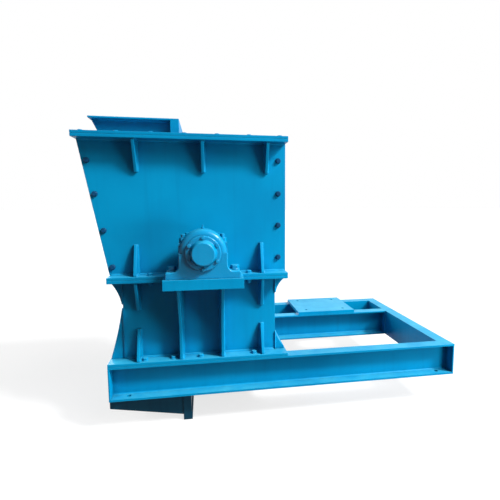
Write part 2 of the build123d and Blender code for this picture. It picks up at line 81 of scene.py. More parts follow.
class Slot(Enum):
    """The record's material slots."""

    BLUE = "blue_enamel"
    SLATE = "slate_enamel"
    BRIGHT = "bright_steel"
    MILL = "mill_steel"
    CASTING = "manganese_casting"


class Side(Enum):
    """The housing's two long sides, as the sign of their outward Y direction."""

    FRONT = -1
    REAR = 1


# Colours, nodes and patterns


def linear(code: str) -> tuple[float, float, float, float]:
    """Turn an sRGB hex colour into a linear one, by the standard's straight foot and power curve.

    Args:
        code: six hex digits, red first.

    Returns:
        Linear red, green, blue and an alpha of 1.
    """
    share = np.array([int(code[i : i + 2], 16) / 255 for i in (0, 2, 4)])
    knee, slope, offset, power = 0.04045, 12.92, 0.055, 2.4
    low, high = share / slope, ((share + offset) / (1 + offset)) ** power
    return (*np.where(share <= knee, low, high).tolist(), 1.0)


def per_metre(size_mm: float) -> float:
    """Texture scale whose features are about this many millimetres across."""
    return 1.0 / (size_mm * MM)


def add_node(
    tree: bpy.types.NodeTree, kind: str, inputs: dict[Any, Any], out: Any = 0, **settings: Any
) -> Socket | None:
    """Add one node with its settings, values and links.

    Args:
        tree: node tree of a material or of the world.
        kind: the node's type without its ShaderNode prefix.
        inputs: values or output sockets, by the input's name or number.
        out: name or number of the output to hand back.
        settings: the node's own attributes.

    Returns:
        The asked output, or None for a node without any.
    """
    node = tree.nodes.new("ShaderNode" + kind)
    for name, value in settings.items():
        setattr(node, name, value)
    for key, value in inputs.items():
        if isinstance(value, bpy.types.NodeSocket):
            tree.links.new(value, node.inputs[key])
        else:
            node.inputs[key].default_value = value
    return node.outputs[out] if len(node.outputs) else None


def seen_by_eye(tree: bpy.types.NodeTree) -> Socket:
    """Tell what the eye sees of the surround from the light that the surround gives.

    Args:
        tree: node tree of the floor or of the world.

    Returns:
        1 for camera, mirrored and see-through rays, and 0 for all others.
    """
    seen = add_node(tree, "LightPath", {}, "Is Camera Ray")
    rays = seen.node.outputs
    for kind in ("Is Glossy Ray", "Is Transmission Ray"):
        seen = add_node(tree, "Math", {0: seen, 1: rays[kind]}, operation="MAXIMUM")
    return seen


class Coating:
    """A material under construction on Object coordinates, with the patterns that the finishes share."""

    # The Mix node's two colour inputs and its colour output, by number.
    MIX_A, MIX_B, MIX_OUT = 6, 7, 2
    EDGE_SAMPLES = 4
    CORNER_SAMPLES = 6
    # Cosine of the normal's turn on a flat and on an edge, and openness in the free and in a corner.
    EDGE_TURN = (0.985, 0.80)
    CORNER_OPENNESS = (0.85, 0.30)

    def __init__(self, name: str) -> None:
        """Start an empty material.

        Args:
            name: the real material and how its surface was made.
        """
        self.material = bpy.data.materials.new(name)
        self.material.use_nodes = True
        self.tree = self.material.node_tree
        self.tree.nodes.clear()
        self.place = self.add("TexCoord", {}, "Object")

    def add(self, kind: str, inputs: dict[Any, Any], out: Any = 0, **settings: Any) -> Socket | None:
        """Add a node to this material and hand back one of its outputs."""
        return add_node(self.tree, kind, inputs, out, **settings)

    def patches(
        self,
        size_mm: float,
        reach: Pair = (0.0, 1.0),
        shares: Pair = (0.0, 1.0),
        detail: float = 2.0,
        place: Socket | None = None,
    ) -> Socket:
        """How strongly something shows from place to place: noise of a real size, cut off and spread out.

        Args:
            size_mm: width of a patch.
            reach: noise values at which the first and the last share are reached.
            shares: the first and the last share.
            detail: how many finer sizes are added.
            place: coordinates, where they aren't the plain Object ones.

        Returns:
            The share.
        """
        place = self.place if place is None else place
        noise = self.add("TexNoise", {"Vector": place, "Scale": per_metre(size_mm), "Detail": detail})
        ends = {"From Min": reach[0], "From Max": reach[1], "To Min": shares[0], "To Max": shares[1]}
        return self.add("MapRange", {"Value": noise, **ends})

    def edges(self, radius_mm: float, most: Socket) -> Socket:
        """How strongly a sharp edge is tinted, from how far a rounded normal leaves the true one. On bare
        steel the tint is rubbed metal; on enamel it is rubbed paint and painted highlight.

        Args:
            radius_mm: how far the edge tint reaches from an edge.
            most: the share on the edge itself.

        Returns:
            The share, 0 on a flat.
        """
        rounded = self.add("Bevel", {"Radius": radius_mm * MM}, samples=self.EDGE_SAMPLES)
        true = self.add("NewGeometry", {}, "True Normal")
        turn = self.add("VectorMath", {0: rounded, 1: true}, "Value", operation="DOT_PRODUCT")
        flat, edge = self.EDGE_TURN
        return self.add("MapRange", {"Value": turn, "From Min": flat, "From Max": edge, "To Max": most})

    def corners(self, reach_mm: float, most: Socket) -> Socket:
        """How much painted shade and grime a corner takes, from how closed-in a place is.

        Args:
            reach_mm: how far a wall may be to count.
            most: the share deep in a corner.

        Returns:
            The share, 0 in the open.
        """
        near = {"Distance": reach_mm * MM}
        openness = self.add("AmbientOcclusion", near, "AO", samples=self.CORNER_SAMPLES)
        free, deep = self.CORNER_OPENNESS
        return self.add("MapRange", {"Value": openness, "From Min": free, "From Max": deep, "To Max": most})

    def layered(self, ground: str, layers: Iterable[tuple[Socket, str]]) -> Socket:
        """Lay colours over a ground in order.

        Args:
            ground: the ground's hex colour.
            layers: each layer's share and hex colour.

        Returns:
            The colour that shows.
        """
        colour = linear(ground)
        for share, code in layers:
            inputs = {0: share, self.MIX_A: colour, self.MIX_B: linear(code)}
            colour = self.add("Mix", inputs, self.MIX_OUT, data_type="RGBA")
        return colour

    def relief(self, heights: Iterable[tuple[Socket, float]]) -> Socket:
        """Put bumps of real heights on top of each other.

        Args:
            heights: each bump's pattern and its height in millimetres.

        Returns:
            The normal.
        """
        below: dict[str, Any] = {}
        for pattern, height_mm in heights:
            inputs = {"Height": pattern, "Distance": height_mm * MM, "Strength": 1.0, **below}
            below = {"Normal": self.add("Bump", inputs)}
        return below["Normal"]

    def closed(self, **inputs: Any) -> bpy.types.Material:
        """Close the material with a Principled shader.

        Args:
            inputs: values or sockets by the shader's input, with underscores for spaces.

        Returns:
            The finished material.
        """
        named = {name.replace("_", " "): value for name, value in inputs.items()}
        self.add("OutputMaterial", {"Surface": self.add("BsdfPrincipled", named)})
        return self.material


# Finishes


@dataclass(frozen=True)
class Finish:
    """What all finishes share: a name, and a material that is made once."""

    name: str

    def material(self) -> bpy.types.Material:
        """The finish's material, built at its first use."""
        return bpy.data.materials.get(self.name) or self.build(Coating(self.name))

    def build(self, coat: Coating) -> bpy.types.Material:
        """Build the material; each finish has its own way."""
        raise NotImplementedError


@dataclass(frozen=True)
class GlossEnamel(Finish):
    """Alkyd gloss enamel, sprayed on steel plate, on castings or over bolts.

    To the eye: one strong colour with faint clouds where the coat is thicker, vertical runs, a fine
    orange peel and slow plate waves in the shine. Over these lie painted light and shade: a paler tint on
    what faces up (dust and painted top light), a paler tint on edges (rubbed paint and painted highlight)
    and a darker tint in corners (grime and painted shade).
    """

    coat_hex: str
    thick_hex: str
    run_hex: str
    dust_and_top_light_hex: str
    edge_tint_hex: str
    grime_and_shade_hex: str
    roughness: float = 0.37
    specular: float = 0.12
    peel_mm: float = 9.0
    peel_height_mm: float = 0.12
    wave_mm: float = 260.0
    wave_height_mm: float = 1.6
    cloud_mm: float = 340.0
    run_mm: float = 24.0
    run_length_mm: float = 430.0
    run_share: float = 0.4
    dust_and_top_light_mm: float = 70.0
    dust_and_top_light_share: float = 0.30
    edge_tint_mm: float = 14.0
    edge_tint_reach_mm: float = 3.0
    edge_wear_and_highlight_share: float = 0.45
    grime_and_shade_mm: float = 28.0
    grime_and_shade_reach_mm: float = 45.0
    grime_and_shade_share: float = 0.55

    # Noise values between which each mark goes from its least to its most.
    CLOUD_REACH = (0.35, 0.68)
    RUN_REACH = (0.50, 0.80)
    DUST_AND_TOP_LIGHT_REACH = (0.30, 0.70)
    GRIME_AND_SHADE_REACH = (0.30, 0.65)
    EDGE_TINT_REACH = (0.44, 0.60)
    SHINE_REACH = (0.30, 0.70)
    # The least of a mark, as a share of its most.
    DUST_AND_TOP_LIGHT_LEAST = 0.30
    GRIME_AND_SHADE_LEAST = 0.35
    EDGE_WEAR_AND_HIGHLIGHT_LEAST = 0.15
    # The normal's Z from which dust and painted top light lie on a face, and how far the roughness strays to
    # both sides.
    DUST_AND_TOP_LIGHT_SLOPE = 0.6
    SHINE_SPREAD = (-0.05, 0.08)

    def build(self, coat: Coating) -> bpy.types.Material:
        """Lay clouds and runs over the coat, then painted top light with dust, painted shade with grime in
        corners and painted highlight with rubbed paint on edges.

        Args:
            coat: the empty material.

        Returns:
            The finished material.
        """
        along_z = self.run_mm / self.run_length_mm
        hanging = coat.add("Mapping", {"Vector": coat.place, "Scale": (1.0, 1.0, along_z)})
        facing_up = coat.add("SeparateXYZ", {0: coat.add("NewGeometry", {}, "Normal")}, "Z")
        dust_and_top_light_shares = (self.DUST_AND_TOP_LIGHT_LEAST * self.dust_and_top_light_share, self.dust_and_top_light_share)
        grime_and_shade_shares = (self.GRIME_AND_SHADE_LEAST * self.grime_and_shade_share, self.grime_and_shade_share)
        edge_wear_and_highlight_shares = (self.EDGE_WEAR_AND_HIGHLIGHT_LEAST * self.edge_wear_and_highlight_share, self.edge_wear_and_highlight_share)
        dust_and_top_light = coat.patches(self.dust_and_top_light_mm, self.DUST_AND_TOP_LIGHT_REACH, dust_and_top_light_shares, detail=4.0)
        grime_and_shade = coat.patches(self.grime_and_shade_mm, self.GRIME_AND_SHADE_REACH, grime_and_shade_shares, detail=3.0)
        edge_tint = coat.patches(self.edge_tint_mm, self.EDGE_TINT_REACH, edge_wear_and_highlight_shares, detail=4.0)
        runs = coat.patches(self.run_mm, self.RUN_REACH, (0.0, self.run_share), place=hanging)
        dust_and_top_light_inputs = {"Value": facing_up, "From Min": self.DUST_AND_TOP_LIGHT_SLOPE, "To Max": dust_and_top_light}
        layers = (
            (coat.patches(self.cloud_mm, self.CLOUD_REACH, detail=3.0), self.thick_hex),
            (runs, self.run_hex),
            # Dust with painted top light: a paler tint on faces that point up.
            (coat.add("MapRange", dust_and_top_light_inputs), self.dust_and_top_light_hex),
            # Grime with painted shade: a darker tint where the surface is closed in.
            (coat.corners(self.grime_and_shade_reach_mm, grime_and_shade), self.grime_and_shade_hex),
            # Rubbed paint with painted highlight: a paler tint along sharp edges.
            (coat.edges(self.edge_tint_reach_mm, edge_tint), self.edge_tint_hex),
        )
        peel = (coat.patches(self.peel_mm, detail=1.0), self.peel_height_mm)
        waves = (coat.patches(self.wave_mm, detail=0.0), self.wave_height_mm)
        low, high = self.SHINE_SPREAD
        shine = (self.roughness + low, self.roughness + high)
        return coat.closed(
            Base_Color=coat.layered(self.coat_hex, layers),
            Roughness=coat.patches(self.cloud_mm, self.SHINE_REACH, shine, detail=3.0),
            Specular_IOR_Level=self.specular,
            Normal=coat.relief((peel, waves)),
        )


@dataclass(frozen=True)
class BareSteel(Finish):
    """Bare steel, turned, rolled or cast.

    To the eye: a grey metal whose shine breaks up in patches of scale, with a grain of its own size,
    bright where its edges are rubbed, and turning marks round the axis where it came off a lathe.
    """

    light_hex: str
    dark_hex: str
    roughness: float
    metallic: float
    patch_mm: float
    grain_mm: float
    grain_height_mm: float
    ring_mm: float = 0.0
    ring_height_mm: float = 0.08
    edge_tint_hex: str = "8E9092"
    edge_tint_mm: float = 9.0
    edge_tint_reach_mm: float = 2.0

    # Noise values between which each mark goes from its least to its most.
    PATCH_REACH = (0.38, 0.64)
    EDGE_TINT_REACH = (0.40, 0.62)
    WEAR_SHARES = (0.1, 0.8)
    SHINE_REACH = (0.30, 0.70)
    SHINE_SPREAD = (-0.07, 0.10)
    # The wave texture turns by 20 radians a unit at a scale of 1. Its bands wander by radians too.
    WAVES_A_UNIT = 20.0 / (2 * math.pi)
    RING_WANDER = 0.4

    def build(self, coat: Coating) -> bpy.types.Material:
        """Lay scale and rubbed edges over the metal, with grain and turning marks as relief.

        Args:
            coat: the empty material.

        Returns:
            The finished material.
        """
        edge_tint = coat.patches(self.edge_tint_mm, self.EDGE_TINT_REACH, self.WEAR_SHARES, detail=3.0)
        layers = (
            (coat.patches(self.patch_mm, self.PATCH_REACH, detail=4.0), self.dark_hex),
            (coat.edges(self.edge_tint_reach_mm, edge_tint), self.edge_tint_hex),
        )
        heights = [(coat.patches(self.grain_mm, detail=3.0), self.grain_height_mm)]
        if self.ring_mm:
            # Real turning marks are about 0.3 mm apart. They are drawn as coarse as ring_mm, to show.
            scale = per_metre(self.ring_mm) / self.WAVES_A_UNIT
            inputs = {"Vector": coat.place, "Scale": scale, "Distortion": self.RING_WANDER, "Detail": 1.0}
            rings = coat.add("TexWave", inputs, "Fac", wave_type="BANDS", bands_direction="Y")
            heights.append((rings, self.ring_height_mm))
        low, high = self.SHINE_SPREAD
        shine = (self.roughness + low, self.roughness + high)
        return coat.closed(
            Base_Color=coat.layered(self.light_hex, layers),
            Metallic=self.metallic,
            Roughness=coat.patches(self.patch_mm, self.SHINE_REACH, shine, detail=4.0),
            Normal=coat.relief(heights),
        )


# Clear strong blue, shiny enough to show the light's side. Painted paler on edges (rubbed paint and painted
# highlight) and on tops (dust and painted top light), and darker in corners (grime and painted shade).
BLUE_PLATE = GlossEnamel(
    name="blue_gloss_enamel_on_steel_plate",
    coat_hex="008DBE",
    thick_hex="007FB0",
    run_hex="0078A8",
    dust_and_top_light_hex="5CC4CC",
    edge_tint_hex="3FAACB",
    grime_and_shade_hex="062C42",
)
# The same paint on sand-cast iron: the mould's grain shows through, and round forms catch the light.
BLUE_CASTING = replace(
    BLUE_PLATE,
    name="blue_gloss_enamel_on_grey_iron",
    roughness=0.22,
    specular=0.22,
    peel_mm=5.0,
    peel_height_mm=0.25,
    wave_mm=60.0,
    wave_height_mm=0.8,
)
# The same paint on bolt heads: a stronger paler edge tint, partly spanner rubbing and partly painted
# highlight, and a weaker darker corner tint, partly grime and partly painted shade.
BLUE_BOLTS = replace(BLUE_PLATE, name="blue_gloss_enamel_on_bolts", edge_wear_and_highlight_share=0.65, grime_and_shade_share=0.25)
# Dark slate blue, satin: the crusher's blue darkened as painted shade, for the chute in the frame's shadow.
# Its paler edges are scuffs with painted highlight.
SHADE_DARKENED_CHUTE_PLATE = GlossEnamel(
    name="enamel_darkened_as_painted_shade_on_chute",
    coat_hex="114A60",
    thick_hex="0D3E54",
    run_hex="0B3449",
    dust_and_top_light_hex="3F6C7D",
    edge_tint_hex="457688",
    grime_and_shade_hex="071A23",
    roughness=0.46,
    specular=0.14,
    edge_wear_and_highlight_share=0.6,
)
# Dark blue bolt heads that stand out from the wall as small dots.
NAVY_BOLTS = GlossEnamel(
    name="navy_enamel_on_bolt_steel",
    coat_hex="0D476F",
    thick_hex="0A3C60",
    run_hex="083352",
    dust_and_top_light_hex="1D5578",
    edge_tint_hex="1D5F8A",
    grime_and_shade_hex="051C2C",
    roughness=0.40,
    grime_and_shade_share=0.30,
)
# Bright shaft with rings round it, which draw the highlight out along the axis.
TURNED_STEEL = BareSteel(
    name="turned_shaft_steel",
    light_hex="B4B6B8",
    dark_hex="9A9DA0",
    roughness=0.30,
    metallic=1.0,
    patch_mm=40.0,
    grain_mm=3.0,
    grain_height_mm=0.01,
    ring_mm=6.0,
)
# Dull blue-grey skin with patches of darker scale, as plate leaves the rolls.
MILL_STEEL = BareSteel(
    name="hot_rolled_mill_scale_steel",
    light_hex="4A4D52",
    dark_hex="33343A",
    roughness=0.52,
    metallic=0.85,
    patch_mm=55.0,
    grain_mm=6.0,
    grain_height_mm=0.10,
)
# Coarse warm grey casting skin of hammers and grate bars.
MANGANESE = BareSteel(
    name="cast_manganese_steel",
    light_hex="55524E",
    dark_hex="3B3936",
    roughness=0.58,
    metallic=0.80,
    patch_mm=26.0,
    grain_mm=4.0,
    grain_height_mm=0.45,
)


# Surfaces


@dataclass
class Surface:
    """Points, quads and triangles of one piece."""

    points: Array
    quads: Array
    fans: Array

    CREASE_DEG = 28.0
    UPRIGHT = 0.9

    @staticmethod
    def from_rings(rings: Array) -> "Surface":
        """Close a stack of rings: quads between neighbouring rings and a fan to the middle of each end ring.

        Args:
            rings: points as rings x points round a ring x 3, the rings running along the ring's own axis.

        Returns:
            The closed surface, facing outwards.
        """
        count, across = rings.shape[:2]
        index = np.arange(count * across).reshape(count, across)
        ahead = np.roll(index, -1, axis=1)
        quads = np.stack([index[:-1], ahead[:-1], ahead[1:], index[1:]], axis=-1).reshape(-1, 4)
        middle = np.full(across, count * across)
        near = np.stack([ahead[0], index[0], middle], axis=-1)
        far = np.stack([index[-1], ahead[-1], middle + 1], axis=-1)
        middles = np.stack([rings[0].mean(axis=0), rings[-1].mean(axis=0)])
        return Surface(np.concatenate([rings.reshape(-1, 3), middles]), quads, np.concatenate([near, far]))

    @staticmethod
    def joined(surfaces: Iterable["Surface"]) -> "Surface":
        """Join surfaces into one, without merging points.

        Args:
            surfaces: the surfaces, in order.

        Returns:
            One surface with all their faces.
        """
        parts = list(surfaces)
        starts = np.cumsum([0] + [len(part.points) for part in parts[:-1]])
        return Surface(
            np.concatenate([part.points for part in parts]),
            np.concatenate([part.quads + start for part, start in zip(parts, starts)]),
            np.concatenate([part.fans + start for part, start in zip(parts, starts)]),
        )

    def repeated(self, places: Array, axes: Array) -> "Surface":
        """Copy the surface to many places, its Z turned to each axis.

        Args:
            places: copies x 3.
            axes: one unit direction for all copies, or copies x 3.

        Returns:
            All copies as one surface.
        """
        axes = np.broadcast_to(axes, places.shape)
        helper = np.where(np.abs(axes[:, 2:3]) > self.UPRIGHT, X, Z)
        across = np.cross(helper, axes)
        across /= np.linalg.norm(across, axis=1, keepdims=True)
        turns = np.stack([across, np.cross(axes, across), axes], axis=2)
        points = np.einsum("kij,vj->kvi", turns, self.points) + places[:, None, :]
        shift = np.arange(len(places))[:, None, None] * len(self.points)
        quads, fans = (self.quads + shift).reshape(-1, 4), (self.fans + shift).reshape(-1, 3)
        return Surface(points.reshape(-1, 3), quads, fans)

    def piece(self, name: str, finish: Finish, slot: Slot) -> bpy.types.Object:
        """Make the surface a piece that rides on the housing.

        Args:
            name: the piece's name.
            finish: its finish.
            slot: the record's slot that the finish belongs to; not used.

        Returns:
            The new object, at the origin.
        """
        mesh = bpy.data.meshes.new(name)
        mesh.from_pydata(self.points.tolist(), [], self.quads.tolist() + self.fans.tolist())
        mesh.shade_smooth()
        mesh.set_sharp_from_angle(angle=math.radians(self.CREASE_DEG))
        mesh.materials.append(finish.material())
        piece = bpy.data.objects.new(name, mesh)
        bpy.context.scene.collection.objects.link(piece)
        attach(piece, HOUSING)
        log.info("%s: %d triangles", name, 2 * len(self.quads) + len(self.fans))
        return piece


@dataclass(frozen=True)
class HexFastener:
    """A hexagon head or nut on its washer, with the stud's end above it where there is one."""

    flats_mm: float
    height_mm: float
    washer_mm: float
    washer_thickness_mm: float = 3.0
    stud_mm: float = 0.0
    stud_reach_mm: float = 0.0

    STEPS = 24
    SINK_MM = 0.5
    WASHER_CHAMFER_MM = 0.8
    STUD_CHAMFER_MM = 1.2
    # Shares of the washer's thickness, of the head's height and of its flats.
    WASHER_RIM = 0.75
    HEAD_CHAMFER = 0.16
    HEAD_CIRCLE = 0.47

    def surface(self) -> Surface:
        """Stack rings whose radius is a function of angle and height.

        On the hexagon the radius is half the flats over the cosine of the angle from the nearest flat, and on
        washer, chamfer and stud it is constant. The rings run from the seat up, the first one sunk.

        Returns:
            The fastener standing on the XY plane, its axis along Z.
        """
        angle = np.arange(self.STEPS) * (2 * np.pi / self.STEPS)
        from_flat = np.mod(angle + np.pi / 6, np.pi / 3) - np.pi / 6
        hexagon = self.flats_mm / 2 / np.cos(from_flat)
        circle = np.ones(self.STEPS)
        washer, seat = self.washer_mm / 2, self.washer_thickness_mm
        top = seat + self.height_mm
        rows = [
            (washer * circle, -self.SINK_MM),
            (washer * circle, self.WASHER_RIM * seat),
            ((washer - self.WASHER_CHAMFER_MM) * circle, seat),
            (hexagon, seat),
            (hexagon, top - self.HEAD_CHAMFER * self.height_mm),
            (np.minimum(hexagon, self.HEAD_CIRCLE * self.flats_mm), top),
        ]
        if self.stud_mm:
            stud, end, chamfer = self.stud_mm / 2, top + self.stud_reach_mm, self.STUD_CHAMFER_MM
            rows += [(stud * circle, top), (stud * circle, end - chamfer), ((stud - chamfer) * circle, end)]
        radius = np.stack([row for row, _ in rows])
        height = np.array([z for _, z in rows])[:, None] * circle
        rings = np.stack([radius * np.cos(angle), radius * np.sin(angle), height], axis=-1)
        return Surface.from_rings(rings * MM)


@dataclass
class Seams:
    """Fillet welds along straight joints: starts, ends and the outward normals of the two plates joined."""

    starts: Array
    ends: Array
    normals_a: Array
    normals_b: Array
    leg_mm: float

    ARC_STEPS = 5
    LEAST_RINGS = 4
    RING_MM = 3.0
    RIPPLE_MM = 9.0
    WAVER_MM = 83.0
    SINK_MM = 0.8
    # Shares of the bead's reach, and the lag as a share of one ripple.
    RIPPLE = 0.07
    WAVER = 0.06
    ROUNDNESS = 0.45
    END_SIZE = 0.05
    LAG = 0.35
    # Radians: from one bead's waver to the next one's, and of the profile past each plate's face.
    WAVER_STEP = 1.7
    PAST_FACE = 0.06

    @staticmethod
    def gather(lines: list[Line], leg_mm: float) -> "Seams":
        """Make seams from lines.

        Args:
            lines: each joint's start, end and two normals.
            leg_mm: how far the bead reaches up each plate.

        Returns:
            The seams.
        """
        starts, ends, a, b = (np.array(column, float) for column in zip(*lines))
        return Seams(starts, ends, a, b, leg_mm)

    def mirrored(self, middle_y: float) -> "Seams":
        """The same seams on both long sides of the housing.

        Args:
            middle_y: the housing's middle.

        Returns:
            Twice as many seams.
        """
        flip, shift = np.array([1.0, -1.0, 1.0]), 2 * middle_y * Y
        return Seams(
            np.concatenate([self.starts, self.starts * flip + shift]),
            np.concatenate([self.ends, self.ends * flip + shift]),
            np.concatenate([self.normals_a, self.normals_a * flip]),
            np.concatenate([self.normals_b, self.normals_b * flip]),
            self.leg_mm,
        )

    def bead(self, number: int) -> Surface:
        """One bead: a rounded corner profile carried along its joint.

        The profile's reach from the corner lies between a straight fillet and a quarter circle, by its
        roundness. Along the joint it swells in ripples that lag behind in the profile's middle, wavers slowly
        with a start of its own, and closes in a quarter ellipse at both ends.

        Args:
            number: which seam.

        Returns:
            The closed bead, its inner edge sunk into the corner.
        """
        start, end = self.starts[number], self.ends[number]
        a, b = self.normals_a[number], self.normals_b[number]
        run = end - start
        length = float(np.linalg.norm(run))
        if np.dot(np.cross(a, b), run) < 0:
            a, b = b, a
        leg = self.leg_mm * MM
        rings = max(self.LEAST_RINGS, int(length / (self.RING_MM * MM)) + 1)
        along = np.linspace(0, length, rings)[:, None]
        phi = np.linspace(-self.PAST_FACE, np.pi / 2 + self.PAST_FACE, self.ARC_STEPS)[None, :]
        straight = 1 / (np.abs(np.cos(phi)) + np.abs(np.sin(phi)))
        fillet = self.ROUNDNESS + (1 - self.ROUNDNESS) * straight
        lag = self.LAG * np.sin(2 * np.clip(phi, 0, np.pi / 2))
        ripple = 1 + self.RIPPLE * np.cos(2 * np.pi * (along / (self.RIPPLE_MM * MM) - lag))
        phase = self.WAVER_STEP * number
        waver = 1 + self.WAVER * np.sin(2 * np.pi * along / (self.WAVER_MM * MM) + phase)
        near_end = np.clip(np.minimum(along, length - along) / leg, 0, 1)
        closing = np.sqrt(np.clip(1 - (1 - near_end) ** 2, self.END_SIZE**2, 1))
        reach = leg * fillet * ripple * waver * closing
        corner = (start + along * (run / length))[:, None, :]
        arc = corner + (reach * np.cos(phi))[..., None] * a + (reach * np.sin(phi))[..., None] * b
        root = corner - self.SINK_MM * MM * closing[..., None] * (a + b)
        return Surface.from_rings(np.concatenate([arc, root], axis=1))

    def piece(self, name: str) -> None:
        """Make all beads one painted piece."""
        beads = Surface.joined(self.bead(number) for number in range(len(self.starts)))
        beads.piece(name, BLUE_PLATE, Slot.BLUE)


# Places of the CAD plates


def span(node: str) -> tuple[Array, Array]:
    """Lowest and highest corner of a CAD node as arrays."""
    low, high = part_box(node)
    return np.array(low), np.array(high)


def between(low: float, high: float, stops: Iterable[float], gap: float) -> list[Pair]:
    """Split a run at stops and leave a gap on both sides of each.

    Args:
        low: where the run starts.
        high: where it ends.
        stops: places of what stands in the way.
        gap: half the width that stays free at each stop.

    Returns:
        Starts and ends of the pieces that are left, without scraps.
    """
    scrap = 0.012
    inside = sorted(stop for stop in stops if low < stop < high)
    edges = [low] + [edge for stop in inside for edge in (stop - gap, stop + gap)] + [high]
    return [(first, last) for first, last in zip(edges[::2], edges[1::2]) if last - first > scrap]


def solid_places(node: str) -> Array:
    """Boxes of a CAD node's separate plates: their lowest and highest corners, sorted by X, then Y, then Z.

    Loose triangles that share a corner, to a hundredth of a millimetre, belong to one plate. Labels spread
    from corner to triangle and back, as whole arrays, until they stop changing.

    Args:
        node: the CAD node's name.

    Returns:
        Plates x 2 x 3.
    """
    mesh = frame["nodes"][node].data
    points = np.empty(len(mesh.vertices) * 3, np.float32)
    mesh.vertices.foreach_get("co", points)
    points = points.reshape(-1, 3)
    mesh.calc_loop_triangles()
    corners = np.empty(len(mesh.loop_triangles) * 3, np.int32)
    mesh.loop_triangles.foreach_get("vertices", corners)
    _, merged = np.unique(np.round(points, DIGITS), axis=0, return_inverse=True)
    merged = merged.reshape(-1)
    triangles = merged[corners].reshape(-1, 3)
    label, last = np.arange(merged.max() + 1), None
    while last is None or not np.array_equal(label, last):
        last = label.copy()
        np.minimum.at(label, triangles.reshape(-1), np.repeat(last[triangles].min(axis=1), 3))
    own = label[merged]
    boxes = np.array([(points[own == k].min(axis=0), points[own == k].max(axis=0)) for k in np.unique(own)])
    return boxes[np.lexsort((boxes[:, 0, 2], boxes[:, 0, 1], boxes[:, 0, 0]))]


# Sub-assemblies


@dataclass
class PlateWork:
    """Every CAD node: its finish, and edges softened as saw, shears and paint leave them."""

    edge_mm: float = 1.6
    edge_segments: int = 2
    weld_distance_mm: float = 0.02
    flat_deg: float = 0.6
    sharp_deg: float = 34.0
    face_weight: int = 90

    CASTINGS = ("bearing_base", "bearing_cap", "bearing_cover")
    SLOT_FINISH = {
        Slot.BLUE: BLUE_PLATE,
        Slot.SLATE: SHADE_DARKENED_CHUTE_PLATE,
        Slot.BRIGHT: TURNED_STEEL,
        Slot.MILL: MILL_STEEL,
        Slot.CASTING: MANGANESE,
    }

    def build(self) -> None:
        """Give each CAD node its finish and its softened edges."""
        slots = {row["node"]: Slot(row["material_slot"]) for row in frame["record"]["subparts"]}
        for name, node in frame["nodes"].items():
            finish = BLUE_CASTING if name.endswith(self.CASTINGS) else self.SLOT_FINISH[slots[name]]
            node.data.materials.clear()
            node.data.materials.append(finish.material())
            self.soften(node)
            log.info("%s: %s", name, finish.name)

    def soften(self, node: bpy.types.Object) -> None:
        """Weld loose triangles, clear flat faces, round sharp edges and even out normals, as modifiers.

        Args:
            node: a CAD node's object.
        """
        weld = node.modifiers.new("weld", "WELD")
        weld.merge_threshold = self.weld_distance_mm * MM
        flats = node.modifiers.new("flats", "DECIMATE")
        flats.decimate_type = "DISSOLVE"
        flats.angle_limit = math.radians(self.flat_deg)
        bevel = node.modifiers.new("edge", "BEVEL")
        bevel.width = self.edge_mm * MM
        bevel.segments = self.edge_segments
        bevel.limit_method = "ANGLE"
        bevel.angle_limit = math.radians(self.sharp_deg)
        normals = node.modifiers.new("normals", "WEIGHTED_NORMAL")
        normals.weight = self.face_weight
        normals.keep_sharp = False


